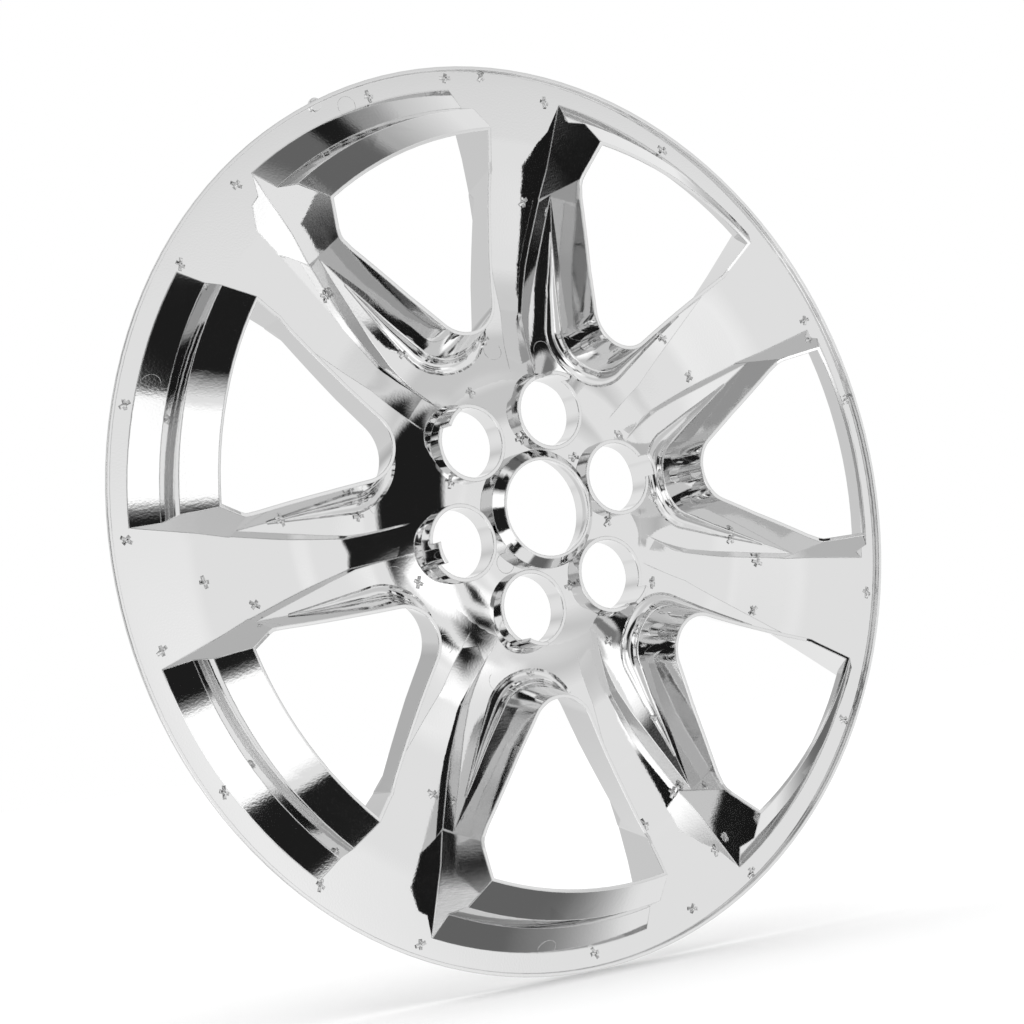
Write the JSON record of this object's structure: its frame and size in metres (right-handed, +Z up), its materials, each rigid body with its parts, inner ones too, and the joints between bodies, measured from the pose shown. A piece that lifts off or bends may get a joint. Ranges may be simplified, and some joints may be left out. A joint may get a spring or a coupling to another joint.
{
  "type": "wheel cover",
  "caption": "One-piece chrome-plated moulded wheel skin with stepped spokes, deep walled windows between them, tubes round the lug holes and a stepped collar at the centre.",
  "frame": {"origin": "middle of the centre bore, on the wheel's axis", "axes": "+Y along the wheel's axis, out through the face of the cover that shows on a car; the open rear with the walls and tubes faces -Y, and +Z is up"},
  "size_m": [0.5476, 0.0542, 0.5476],
  "materials": {
    "chrome_plate": "bright chrome plating on moulded ABS"
  },
  "bodies": {
    "root": {"wheel_cover": "chrome_plate"}
  },
  "joints": []
}
